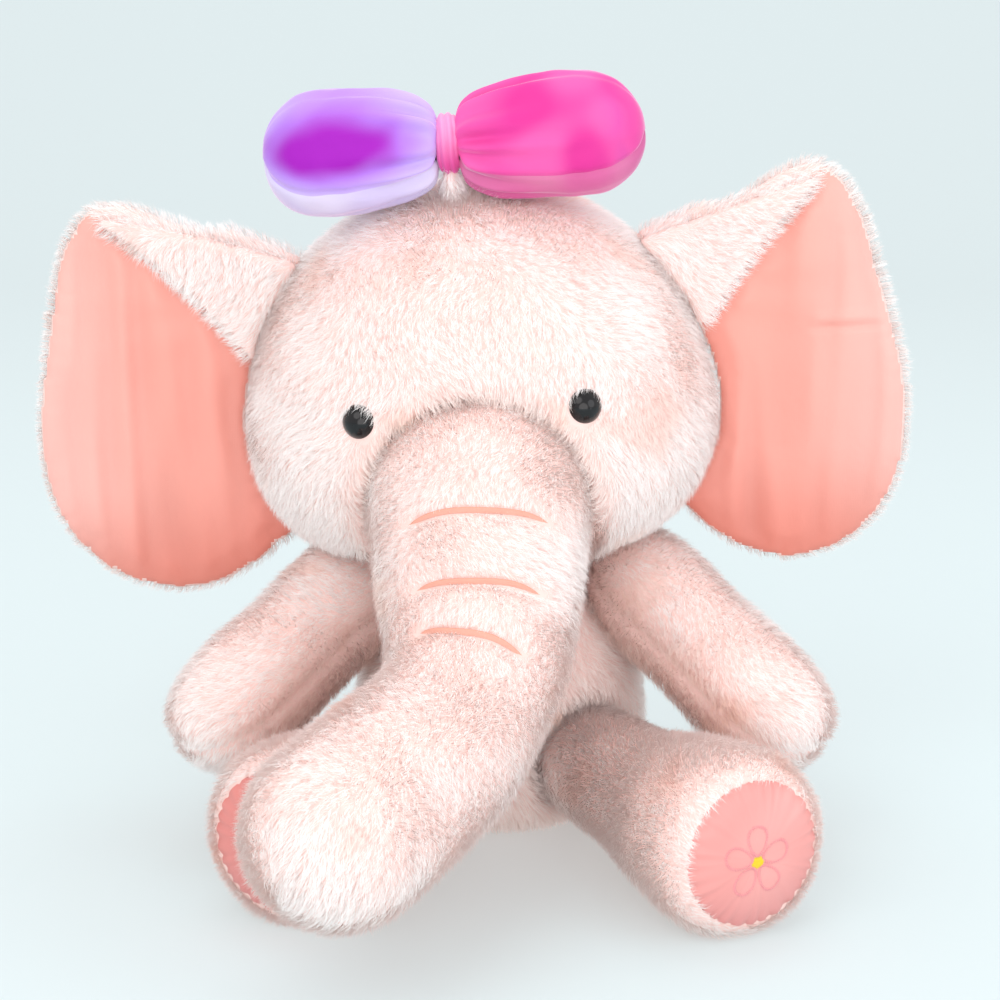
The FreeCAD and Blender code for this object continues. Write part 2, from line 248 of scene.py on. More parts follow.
def newMaterial(name, shader, colour=None, bump=None):
    # colour is a hex value, or the name of a mesh's colour layer; bump builds the height of the weave
    material = bpy.data.materials.new(name)
    material.use_nodes = True
    tree = material.node_tree
    tree.nodes.clear()
    links = {}
    if colour.startswith("#"):
        shader["Base Color"] = (*linear(colour), 1)
    else:
        layer = addNode(tree, "ShaderNodeVertexColor", {"layer_name": colour})
        links["Base Color"] = layer.outputs["Color"]
    if bump:
        links["Normal"] = bump(tree)
    surface = addNode(tree, "ShaderNodeBsdfPrincipled", shader, links)
    addNode(tree, "ShaderNodeOutputMaterial", {}, {"Surface": surface.outputs["BSDF"]})
    return material


def noiseBump(size, height, detail=3.0, stretch=(1, 1, 1)):
    # size is the width of one bump and height its depth, both in millimetres
    def build(tree):
        place = addNode(tree, "ShaderNodeTexCoord", {})
        spread = addNode(tree, "ShaderNodeMapping", {"Scale": stretch}, {"Vector": place.outputs["Object"]})
        grain = addNode(
            tree, "ShaderNodeTexNoise", {"Scale": 1 / (size * mm), "Detail": detail, "Roughness": 0.6},
            {"Vector": spread.outputs["Vector"]},
        )
        bump = addNode(
            tree, "ShaderNodeBump", {"Strength": 0.6, "Distance": height * mm},
            {"Height": grain.outputs["Fac"]},
        )
        return bump.outputs["Normal"]
    return build


def weaveBump(pitch, height, wrinkle):
    # crossed threads at their pitch, over soft wrinkles, all in millimetres
    def build(tree):
        place = addNode(tree, "ShaderNodeTexCoord", {})
        heights = []
        for direction in ("X", "Z"):
            threads = addNode(
                tree, "ShaderNodeTexWave",
                {"wave_type": "BANDS", "bands_direction": direction, "Scale": 0.314 / (pitch * mm),
                 "Distortion": 0.6, "Detail": 1.0},
                {"Vector": place.outputs["Object"]},
            )
            heights.append(threads.outputs["Fac"])
        weave = addNode(tree, "ShaderNodeMath", {"operation": "MULTIPLY"}, {0: heights[0], 1: heights[1]})
        soft = addNode(
            tree, "ShaderNodeTexNoise", {"Scale": 1 / (wrinkle * mm), "Detail": 2.0},
            {"Vector": place.outputs["Object"]},
        )
        fine = addNode(
            tree, "ShaderNodeBump", {"Strength": 0.35, "Distance": height * mm},
            {"Height": weave.outputs["Value"]},
        )
        broad = addNode(
            tree, "ShaderNodeBump", {"Strength": 0.4, "Distance": 1.2 * mm},
            {"Height": soft.outputs["Fac"], "Normal": fine.outputs["Normal"]},
        )
        return broad.outputs["Normal"]
    return build


# Long acrylic pile: fibres with no gloss of their own, whose edges catch the light as a pale bloom.
acrylicPile = newMaterial(
    "acrylic_pile",
    {"Roughness": 0.85, "Specular IOR Level": 0.25, "Sheen Weight": 0.35, "Sheen Roughness": 0.45,
     "Sheen Tint": (1.0, 0.93, 0.90, 1)},
    "tint",
)
# Knitted backing under the pile: seen only between the fibres, as a warm shadow.
knitBacking = newMaterial(
    "knit_backing", {"Roughness": 0.95, "Specular IOR Level": 0.1}, "#FAD9D2", noiseBump(1.2, 0.4),
)
# Polyester satin, woven: smooth with a broad soft highlight. The threads are drawn at 0.9 mm, coarser
# than real satin, so that they show.
polyesterSatin = newMaterial(
    "polyester_satin",
    {"Roughness": 0.46, "Specular IOR Level": 0.4, "Sheen Weight": 0.25, "Sheen Roughness": 0.3,
     "Sheen Tint": (1.0, 0.85, 0.80, 1)},
    "tint", weaveBump(0.9, 0.05, 14),
)
# Stretch velvet: the short upright pile is deep in colour face on and pale along its edges.
stretchVelvet = newMaterial(
    "stretch_velvet",
    {"Roughness": 0.62, "Specular IOR Level": 0.3, "Sheen Weight": 0.9, "Sheen Roughness": 0.32,
     "Sheen Tint": (1.0, 0.78, 0.98, 1)},
    "tint", noiseBump(0.9, 0.12, 2.0),
)
# Injection-moulded, polished acrylic: near black, with a sharp highlight from its clear face.
polishedAcrylic = newMaterial(
    "polished_acrylic",
    {"Roughness": 0.16, "IOR": 1.49, "Specular IOR Level": 0.3, "Coat Weight": 0.35, "Coat Roughness": 0.03},
    "#08070A",
)
mouldedPolythene = newMaterial(  # the washer behind each eye, milky and dull
    "moulded_polythene", {"Roughness": 0.5, "IOR": 1.51}, "#E6E4DE", noiseBump(2.0, 0.02),
)
spunThread = newMaterial(  # twisted polyester sewing thread, with a soft grain along it
    "spun_thread", {"Roughness": 0.6, "Sheen Weight": 0.3}, "#EDB3A2", noiseBump(0.6, 0.15),
)
paleThread = newMaterial(  # shiny rayon embroidery thread, close to the satin's own colour
    "rayon_thread_pink", {"Roughness": 0.35, "Sheen Weight": 0.3}, "#E9979C", noiseBump(0.5, 0.1),
)
yellowThread = newMaterial(
    "rayon_thread_yellow", {"Roughness": 0.35, "Sheen Weight": 0.3}, "#F2D51E", noiseBump(0.5, 0.1),
)
labelRibbon = newMaterial(  # woven ribbon, plain and blank
    "woven_ribbon", {"Roughness": 0.55, "Sheen Weight": 0.2}, "#F4F1EE", weaveBump(0.8, 0.1, 9),
)


# fur

fur = {
    "density": 1.5,          # strands to a square millimetre
    "length": 7.8,           # millimetres
    "width": 0.23,
    "leans": (30, 66),       # degrees from upright, of the lower and upper half of a strand
    "clumpSize": 5.0,        # millimetres across a tuft
    "clumpPull": 0.42,
    "swirl": 0.55,           # radians that the nap wanders from its combing
    "swirlSize": 38.0,
    "strandsToPiece": 64000,
    # painted shade: the roots are darker and warmer than the tips, for the shade deep in the pile
    "rootColour": "#FEECE7",
    "tipColour": "#FFFBFA",
    "warmColour": "#FADCCF",
    "rootWarm": "#F3C8B9",
}
strandColours = {key: linear(fur[key]) for key in ("rootColour", "tipColour", "warmColour", "rootWarm")}
seeds = iter(range(100, 1000))


def outside(points, skins, margin):
    # which points stand clear of the other skins
    keep = np.ones(len(points), bool)
    for skin in skins:
        corners = pointsOf(skin.data)
        near = keep & np.all((points > corners.min(0) - margin) & (points < corners.max(0) + margin), axis=1)
        tree = treeOf(skin.data)
        for index in np.flatnonzero(near):
            point = Vector(points[index])
            nearest, normal = tree.find_nearest(point)[:2]
            if normal.dot(point - nearest) < margin:
                keep[index] = False
    return keep


def scatter(skin, density, seed):
    # roots spread evenly over a skin, with the skin's normal at each
    rng = np.random.default_rng(seed)
    mesh = skin.data
    mesh.calc_loop_triangles()
    corners = np.empty(len(mesh.loop_triangles) * 3, np.int32)
    mesh.loop_triangles.foreach_get("vertices", corners)
    corners = corners.reshape(-1, 3)
    points, normals = pointsOf(mesh), normalsOf(mesh)
    a, b, c = (points[corners[:, side]] for side in range(3))
    areas = np.linalg.norm(np.cross(b - a, c - a), axis=1) / 2
    count = int(areas.sum() / mm ** 2 * density)
    chosen = rng.choice(len(areas), count, p=areas / areas.sum())
    first, second = np.sqrt(rng.random(count)), rng.random(count)
    shares = np.stack([1 - first, first * (1 - second), first * second], axis=1)[..., None]
    corners = corners[chosen]
    return (points[corners] * shares).sum(1), unit((normals[corners] * shares).sum(1))


def clumpPull(roots, size, seed):
    # from each root to the middle of its tuft, with one tuft in each cell of a jittered grid
    spread = np.array([[127.1, 269.5, 113.5], [311.7, 183.3, 271.9], [74.7, 246.1, 124.6]])
    cells = np.floor(roots / size)
    best = np.full(len(roots), 1e9)
    pull = np.zeros_like(roots)
    for shift in np.ndindex(3, 3, 3):
        cell = cells + np.array(shift) - 1
        hashed = np.sin(cell @ spread + seed)
        middle = (cell + (hashed * 43758.5453) % 1.0) * size
        away = middle - roots
        gap = np.linalg.norm(away, axis=1)
        nearer = gap < best
        best[nearer] = gap[nearer]
        pull[nearer] = away[nearer]
    return pull


def growFur(name, skin, body, flow, hidden=(), rooms=(), lengthAt=None, paintedShadeAt=None, keepAt=None, blend=None,
            density=1.0, length=None):
    # flow(points) is the way that the pile is brushed. lengthAt scales it by place, and the shade function
    # colours it by place with painted shade: a warmer, darker peach where shade falls.
    seed = next(seeds)
    rng = np.random.default_rng(seed)
    share = 1.0
    roots, normals = scatter(skin, fur["density"] * density * share, seed)
    keep = np.ones(len(roots), bool)
    for middle, radius in rooms:
        keep &= np.linalg.norm(roots - middle, axis=1) > radius
    if keepAt:
        keep &= keepAt(roots, normals)
    roots, normals = roots[keep], normals[keep]
    keep = outside(roots, hidden, 1.2 * mm)
    roots, normals = roots[keep], normals[keep]
    count = len(roots)
    scale = lengthAt(roots) if lengthAt else np.ones(count)
    reach = (length or fur["length"]) * mm * (0.72 + 0.5 * rng.random(count)) * scale
    brushed = unit(flatten(flow(roots), normals))
    across = np.cross(normals, brushed)
    turn = fur["swirl"] * softNoise(roots, fur["swirlSize"] * mm, seed + 1) + 0.22 * rng.normal(size=count)
    brushed = brushed * np.cos(turn)[:, None] + across * np.sin(turn)[:, None]
    across = np.cross(normals, brushed)
    rise = 9 * softNoise(roots, 24 * mm, seed + 2) + 6 * rng.normal(size=count)
    flat = np.clip(1.35 - 0.35 * scale, 0.45, 1.3)     # long tufts stand up and short pile lies down
    low, high = (np.radians(np.clip((lean + rise) * flat, 4, 84))[:, None] for lean in fur["leans"])
    middles = roots + reach[:, None] * 0.5 * (normals * np.cos(low) + brushed * np.sin(low))
    tips = middles + reach[:, None] * 0.5 * (normals * np.cos(high) + brushed * np.sin(high))
    pull = clumpPull(roots + 0.35 * (tips - roots), fur["clumpSize"] * mm, seed)
    pull = flatten(pull, normals) * fur["clumpPull"]
    middles += pull * 0.35
    tips += pull + 0.5 * mm * rng.normal(size=(count, 3))
    roll = rng.uniform(-0.55, 0.55, count)[:, None]
    side = across * np.cos(roll) + np.cross(unit(tips - roots), across) * np.sin(roll)
    facing = unit(np.cross(side, unit(tips - roots)))
    outward = np.where(np.sum(facing * normals, axis=1, keepdims=True) < 0, -1, 1)  # every strand faces out
    wide = side * outward * fur["width"] * mm * (0.8 + 0.4 * rng.random(count))[:, None] / math.sqrt(share)
    facing *= outward
    waist = wide * 0.42
    made = np.stack([roots - wide / 2, roots + wide / 2, middles - waist, middles + waist, tips], axis=1)
    shading = unit(normals * 1.0 + facing * 0.32 + 0.10 * rng.normal(size=(count, 3)))
    patches = softNoise(roots, 34 * mm, seed + 3) + 0.35 * softNoise(roots, 9 * mm, seed + 4)
    warm = step(patches, 0.75, 1.9) * 0.55
    # painted shade: where the form's shade function says shade falls, the strands turn a warmer, darker
    # peach
    if paintedShadeAt:
        warm = np.clip(warm + paintedShadeAt(roots, normals), 0, 1)
    bright = 1 + 0.05 * rng.normal(size=count)
    # painted shade: each strand darkens from its tip down to its root, where the pile shades it
    root = mix(strandColours["rootColour"], strandColours["rootWarm"], warm) * bright[:, None]
    tip = mix(strandColours["tipColour"], strandColours["warmColour"], warm) * bright[:, None]
    between = mix(root, tip, np.full(count, 0.62))
    colours = np.stack([root, root, between, between, tip], axis=1)
    pieces = max(2, math.ceil(count / fur["strandsToPiece"]))
    for number in range(pieces):
        part = slice(number * count // pieces, (number + 1) * count // pieces)
        piece = furPiece(f"{name}_{number + 1}", made[part], colours[part], shading[part])
        piece.visible_shadow = piece.visible_diffuse = number % 3 == 0  # thin fibres let light through
        if blend:
            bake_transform(piece)
        else:
            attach(piece, body)
    say(f"{name}: {count} strands in {pieces} pieces")


def furPiece(name, made, colours, shading):
    # two faces to a strand, a four-sided lower half and a pointed tip
    count = len(made)
    mesh = bpy.data.meshes.new(name)
    mesh.vertices.add(count * 5)
    mesh.vertices.foreach_set("co", made.astype(np.float32).ravel())
    corners = (np.arange(count)[:, None] * 5 + np.array([0, 1, 3, 2, 2, 3, 4])).astype(np.int32)
    mesh.loops.add(count * 7)
    mesh.loops.foreach_set("vertex_index", corners.ravel())
    mesh.polygons.add(count * 2)
    starts = (np.arange(count)[:, None] * 7 + np.array([0, 4])).astype(np.int32)
    mesh.polygons.foreach_set("loop_start", starts.ravel())
    mesh.update(calc_edges=True)
    mesh.shade_smooth()
    tint(mesh, np.clip(colours.reshape(-1, 3), 0, 1))
    mesh.normals_split_custom_set_from_vertices(np.repeat(shading, 5, axis=0))
    mesh.materials.append(acrylicPile)
    piece = bpy.data.objects.new(name, mesh)
    scene.collection.objects.link(piece)
    return piece


def brushedAlong(direction, source=None, radial=0.0):
    # a nap combed one way, and also away from a source
    direction = unit(np.array(direction, float))

    def flow(points):
        away = unit(points - source) * radial if source is not None else 0
        return direction + away + np.zeros_like(points)
    return flow


# camera, light and stage

camera = {"target": (-0.0002, -0.040, 0.1787), "distance": 1.25, "elevation": 15.0, "lens": 86.5}
lights = {
    # name: (place, size, watts, colour)
    "key": ((-0.75, -1.15, 1.45), 1.3, 6.5, "#FFFBFA"),
    "fill": ((1.25, -0.95, 0.75), 1.2, 4.5, "#F8FAFF"),
    "top": ((0.0, 0.35, 1.6), 1.2, 5.0, "#FFFFFF"),
    "front": ((0.1, -1.6, 0.28), 1.5, 9.5, "#FFF9F8"),
}
world = {"colour": "#FAF9F9", "strength": 0.98}
floor = {
    "colour": "#A3BBC0", "glow": "#FFF1EC", "glowStrength": 0.38,     # painted glow: the floor emits light, though it is no lamp, so that the shadows on it stay pale
    "front": -2.6, "back": 2.4, "side": 3.0, "height": 2.2, "curve": 0.8,
}


def makeCamera():
    lens = bpy.data.cameras.new("camera")
    lens.lens = camera["lens"]
    lens.sensor_width = 36
    holder = bpy.data.objects.new("camera", lens)
    scene.collection.objects.link(holder)
    rise = math.radians(camera["elevation"])
    back = Vector((0, -math.cos(rise), math.sin(rise)))
    holder.location = Vector(camera["target"]) + back * camera["distance"]
    holder.rotation_euler = (-back).to_track_quat("-Z", "Y").to_euler()
    scene.camera = holder


def makeLights():
    for name, (place, size, watts, colour) in lights.items():
        lamp = bpy.data.lights.new(name, "AREA")
        lamp.shape = "DISK"
        lamp.size = size
        lamp.energy = watts
        lamp.color = linear(colour)
        holder = bpy.data.objects.new(name, lamp)
        scene.collection.objects.link(holder)
        holder.location = place
        aim = Vector((0, -0.05, 0.2)) - Vector(place)
        holder.rotation_euler = aim.to_track_quat("-Z", "Y").to_euler()
    sky = bpy.data.worlds.new("studio")
    sky.use_nodes = True
    background = sky.node_tree.nodes["Background"]
    background.inputs["Color"].default_value = (*linear(world["colour"]), 1)
    background.inputs["Strength"].default_value = world["strength"]
    scene.world = sky
    scene.view_settings.view_transform = "Standard"


def makeStage():
    # a pale floor that curves up into a backdrop
    low = min(0.0, cadBox[0][2])
    curve = [(floor["front"], low), (floor["back"] - floor["curve"], low)]
    for turn in range(1, 13):
        angle = math.radians(turn * 7.5)
        curve.append((
            floor["back"] - floor["curve"] + floor["curve"] * math.sin(angle),
            low + floor["curve"] * (1 - math.cos(angle)),
        ))
    curve.append((floor["back"], floor["height"]))
    points = [(side * floor["side"], y, z) for y, z in curve for side in (-1, 1)]
    faces = [(2 * row, 2 * row + 1, 2 * row + 3, 2 * row + 2) for row in range(len(curve) - 1)]
    # matte sheet with a painted glow: it emits light of its own, so that the shadows on it stay soft and
    # pale
    paper = newMaterial(
        "matte_paper_painted_glow",
        {"Roughness": 0.9, "Specular IOR Level": 0.1, "Emission Color": (*linear(floor["glow"]), 1),
         "Emission Strength": floor["glowStrength"]},
        floor["colour"],
    )
    newPiece("floor", points, faces, paper)


makeCamera()
makeLights()
makeStage()
say("camera, light and floor are in place")


# stuffed forms: head, body, arms and legs

skins = {
    "head": {"voxel": 4.0, "smoothing": 6, "grow": 3.0, "fill": 0.95},
    "body": {"voxel": 4.0, "smoothing": 6, "grow": 3.0, "fill": 0.9},
    "arm": {"voxel": 3.2, "smoothing": 5, "grow": 2.8, "fill": 0.8},
    "leg": {"voxel": 3.2, "smoothing": 5, "grow": 3.0, "fill": 0.85},
    "ear": {"voxel": 1.9, "smoothing": 4, "grow": 1.3, "fill": 0.3},
    "fold": {"voxel": 1.8, "smoothing": 4, "grow": 1.3, "fill": 0.3},
    "foot": {"voxel": 1.6, "smoothing": 3, "grow": 0.0, "fill": 0.5},
    "tail": {"voxel": 1.8, "smoothing": 4, "grow": 0.0, "fill": 0.6},
}


def makeForm(name, body, kind, filling, covers):
    skin = skinFrom(name, filling, skins[kind], knitBacking)
    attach(skin, body)
    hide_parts(filling, *covers)
    return skin


def widenRoot(skin, joint, far, share):
    # scales a limb's thickness by the share at its joint, fading out along it
    start = placeOf(joint)
    heading = unit(far - start)
    points = pointsOf(skin.data)
    along = (points - start) @ heading
    nearness = 1 - step(along, 0, np.linalg.norm(far - start))
    movePoints(skin.data, points + flatten(points - start, heading) * ((share - 1) * nearness)[:, None])


def sewSeam(skin, node, other, axisPoint, depth):
    # presses a valley where two panels meet, and returns how far a point is from it
    across = unit(cadPoints(node).mean(0) - cadPoints(other).mean(0))
    points = pointsOf(skin.data)
    offset = (points - axisPoint) @ across
    valley = depth * mm * np.exp(-(offset / (2.5 * mm)) ** 2)
    movePoints(skin.data, points - normalsOf(skin.data) * valley[:, None])
    return lambda places: np.abs((places - axisPoint) @ across)


forms = {
    "head": makeForm("head_skin", "head", "head", "head_filling", ["head_left_panel", "head_right_panel"]),
    "body": makeForm("body_skin", "torso", "body", "body_filling", ["belly_panel", "back_panel"]),
}
armSeams = {}
for side in ("left", "right"):
    forms["arm_" + side] = makeForm(
        f"arm_{side}_skin", "arm_" + side, "arm", f"arm_{side}_filling",
        [f"arm_{side}_inner_panel", f"arm_{side}_outer_panel"],
    )
    forms["leg_" + side] = makeForm(
        f"leg_{side}_skin", "leg_" + side, "leg", f"leg_{side}_filling",
        [f"leg_{side}_top_panel", f"leg_{side}_under_panel"],
    )
    widenRoot(forms["arm_" + side], f"arm_{side}_raise", cadPoints(f"arm_{side}_filling").mean(0), 1.12)
    widenRoot(forms["leg_" + side], f"leg_{side}_lift", cadPoints(f"sole_pad_{side}").mean(0), 0.84)
    armSeams[side] = sewSeam(
        forms["arm_" + side], f"arm_{side}_outer_panel", f"arm_{side}_inner_panel",
        placeOf(f"arm_{side}_raise"), 2.0,
    )
forms["bowFoot"] = makeForm("bow_foot_skin", "head", "foot", "bow_shank", [])
say("the stuffed forms are skinned")


# trunk: one tube from the face to its tip, bending at the curl joint

trunk = {
    "rings": 120,
    "round": 96,
    # (way along, radius) from the root to the end
    "radii": ((0, 54.0), (62, 46.0), (112, 38.0), (150, 39.5), (190, 41.5), (225, 41.0)),
    "endRound": 41.5,        # how far the round end of the panels reaches past its centre
    "cornerReach": 0.46,     # of each straight length, that the bend's curve takes up
    "bendOver": 34.0,        # how far either side of the joint the bend's span reaches
    "grooveDepth": 2.4,
    "grooveWidth": 6.0,
    "swell": 1.8,            # how far the stuffing bulges between the creases
}
crease = {"widths": (80, 69, 58), "width": 1.9, "height": 2.4, "steps": 40, "across": 6,
          "colour": "#E59C86", "edgeColour": "#F0BBAA"}


def trunkLine():
    # the centre line's points, the way along it and the radius at each
    root, bend = placeOf("trunk_lift"), placeOf("trunk_curl")
    tipPoints = cadPoints("trunk_tip_left_panel", "trunk_tip_right_panel")
    away = tipPoints - bend
    far = np.linalg.norm(away, axis=1)
    heading = away[far.argmax()] / far.max()
    length = far.max() - trunk["endRound"] * mm
    end = bend + heading * length
    before = bend + (root - bend) * trunk["cornerReach"]
    after = bend + (end - bend) * trunk["cornerReach"]
    line = [root + (before - root) * share for share in np.linspace(0, 1, 12, endpoint=False)]
    for share in np.linspace(0, 1, 40):
        line.append(before * (1 - share) ** 2 + 2 * bend * share * (1 - share) + after * share ** 2)
    line += [after + (end - after) * share for share in np.linspace(0, 1, 14)[1:]]
    line = np.array(line)
    steps = np.concatenate([[0], np.cumsum(np.linalg.norm(np.diff(line, axis=0), axis=1))])
    return line, steps


def trunkTube():
    line, steps = trunkLine()
    total = steps[-1]
    rootRadius, endRadius = trunk["radii"][0][1] * mm, trunk["radii"][-1][1] * mm
    ways, sizes = np.array(trunk["radii"]).T * mm
    # rings start inside the head, on the root's ball, and end on the rounded tip
    ballTurns = np.linspace(-math.pi / 2, 0, 16)
    tipTurns = np.linspace(0, math.pi / 2, 22)
    places = [rootRadius * math.sin(turn) for turn in ballTurns]
    radii = [rootRadius * math.cos(turn) for turn in ballTurns]
    for share in np.linspace(0, 1, trunk["rings"])[1:-1]:
        place = total * share
        places.append(place)
        near = place + np.linspace(-12, 12, 9) * mm
        radii.append(np.interp(near, ways, sizes).mean())
    places += [total + endRadius * math.sin(turn) * 0.98 for turn in tipTurns]
    radii += [endRadius * math.cos(turn) for turn in tipTurns]
    up = None
    rings, centres = [], []
    for place, radius in zip(places, radii):
        inside = min(max(place, 0), total)
        centre = np.array([np.interp(inside, steps, line[:, axis]) for axis in range(3)])
        ahead = np.array([np.interp(min(inside + mm, total), steps, line[:, axis]) for axis in range(3)])
        behind = np.array([np.interp(max(inside - mm, 0), steps, line[:, axis]) for axis in range(3)])
        heading = unit(ahead - behind)
        centre = centre + heading * (place - inside)
        up = unit(flatten(np.array([0, -0.3, 1.0]) if up is None else up, heading))
        side = np.cross(up, heading)
        turns = np.arange(trunk["round"]) * 2 * math.pi / trunk["round"]
        rings.append(centre + radius * (np.cos(turns)[:, None] * up + np.sin(turns)[:, None] * side))
        centres.append((centre, heading, up, side, radius, place))
    return rings, centres


def creaseLines(centres):
    # where each crease lies: its place along the trunk, its middle angle and its half angle
    lines = []
    for number in (1, 2, 3):
        points = cadPoints(f"trunk_crease_{number}")
        middle = points.mean(0)
        ring = min(centres, key=lambda entry: abs((middle - entry[0]) @ entry[1]))
        centre, _, up, side, radius, place = ring
        away = points - centre
        angles = np.arctan2(away @ side, away @ up)
        if number == 1:
            towards = (angles.max() + angles.min()) / 2
        lines.append((place, towards, crease["widths"][number - 1] * mm / 2 / radius))
    return lines


def creaseCloseness(place, angle, line):
    # 1 in the middle of a crease, falling to 0 at its width and past its ends
    linePlace, middle, half = line
    along = 1 - step(np.abs(angle - middle) / half, 0.75, 1.15)
    return np.exp(-((place - linePlace) / (trunk["grooveWidth"] * mm)) ** 2) * along


def makeTrunk():
    rings, centres = trunkTube()
    lines = creaseLines(centres)
    turns = np.arange(trunk["round"]) * 2 * math.pi / trunk["round"]
    angles = (turns + math.pi) % (2 * math.pi) - math.pi
    points = []
    for ring, (centre, *_, place) in zip(rings, centres):
        outward = unit(ring - centre)
        shape = np.zeros(len(turns))
        for line in lines:
            shape -= trunk["grooveDepth"] * mm * creaseCloseness(place, angles, line)
        for (firstPlace, firstMiddle, _), (nextPlace, *_) in zip(lines, lines[1:]):
            between = (place - (firstPlace + nextPlace) / 2) / ((nextPlace - firstPlace) / 2)
            bulge = np.exp(-(between / 0.55) ** 2) * np.exp(-((angles - firstMiddle) / 0.9) ** 2)
            shape += trunk["swell"] * mm * bulge
        points.append(ring + outward * shape[:, None])
    faces = ringFaces(len(points), trunk["round"])
    skin = newPiece("trunk_skin", np.concatenate(points), faces, knitBacking)
    weld = skin.modifiers.new("weld", "WELD")  # closes the two poles
    weld.merge_threshold = 0.02 * mm
    settle(skin)
    skin.data.shade_smooth()
    for number, line in enumerate(lines, 1):
        makeCrease(number, line, centres)
    return skin, centres, lines


def makeCrease(number, line, centres):
    # a folded satin strip sewn into the groove, narrowing to its ends
    place, middle, half = line
    ring = min(centres, key=lambda entry: abs(entry[5] - place))
    centre, heading, up, side, radius, _ = ring
    points, shades = [], []
    floorOfGroove = radius - trunk["grooveDepth"] * mm * 0.9
    for share in np.linspace(-1, 1, crease["steps"]):
        angle = middle + half * share * 0.97
        taper = max(0.12, (1 - abs(share) ** 3.0)) ** 0.6
        outward = math.cos(angle) * up + math.sin(angle) * side
        sway = 0.5 * mm * math.sin(share * 5 + number)
        for row in range(crease["across"] + 1):
            turn = math.pi * row / crease["across"]
            out = floorOfGroove + crease["height"] * mm * taper * math.sin(turn) * 1.6
            along = sway - math.cos(turn) * crease["width"] / 2 * mm * taper
            points.append(centre + outward * out + heading * along)
            shades.append(abs(math.cos(turn)))
    width = crease["across"] + 1
    faces = [
        (row * width + column, row * width + column + 1,
         (row + 1) * width + column + 1, (row + 1) * width + column)
        for row in range(crease["steps"] - 1) for column in range(width - 1)
    ]
    strip = newPiece(f"trunk_crease_strip_{number}", points, faces, polyesterSatin)
    tint(strip.data, mix(linear(crease["colour"]), linear(crease["edgeColour"]), np.array(shades)))
    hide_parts(f"trunk_crease_{number}")
    bendPiece(strip)


def trunkBlend():
    root, bend = placeOf("trunk_lift"), placeOf("trunk_curl")
    line, _ = trunkLine()
    over = trunk["bendOver"] * mm
    return {
        "bodies": ("trunk_upper", "trunk_tip"),
        "start": bend + unit(root - bend) * over,
        "end": bend + unit(line[-1] - bend) * over,
    }


def bendPiece(piece):
    blend = trunkBlend()
    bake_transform(piece)


trunkSkin, trunkCentres, creasePlaces = makeTrunk()
forms["trunk"] = trunkSkin
say("the trunk is shaped")


# ears: a satin lining in front of a furry back, and the furry fold along the top of each

earLook = {
    "frontAt": 0.45,         # how squarely a face looks forward to count as lining
    "underFold": 4.0,        # how far the lining runs up behind the fold
    "crown": 1.8,            # how far the lining swells from its seam, in millimetres
    "seamReach": 13.0,
    "foldAmount": 1.3,       # depth of the soft vertical folds
    "foldSize": 11.0,
    "near": "#DE8070",       # beside the head, darkest there as painted shade
    "middle": "#EC9F92",
    "far": "#F0BAB1",
    "low": "#D87B6B",
}


def facesWhere(mesh, inside):
    return [tuple(face.vertices) for face in mesh.polygons if all(inside[index] for index in face.vertices)]


def partOf(name, points, faces, material):
    # a piece of a mesh with only the points that its faces use
    used = sorted({index for face in faces for index in face})
    new = {index: number for number, index in enumerate(used)}
    piece = newPiece(name, points[used], [tuple(new[index] for index in face) for face in faces], material)
    return piece, np.array(used)


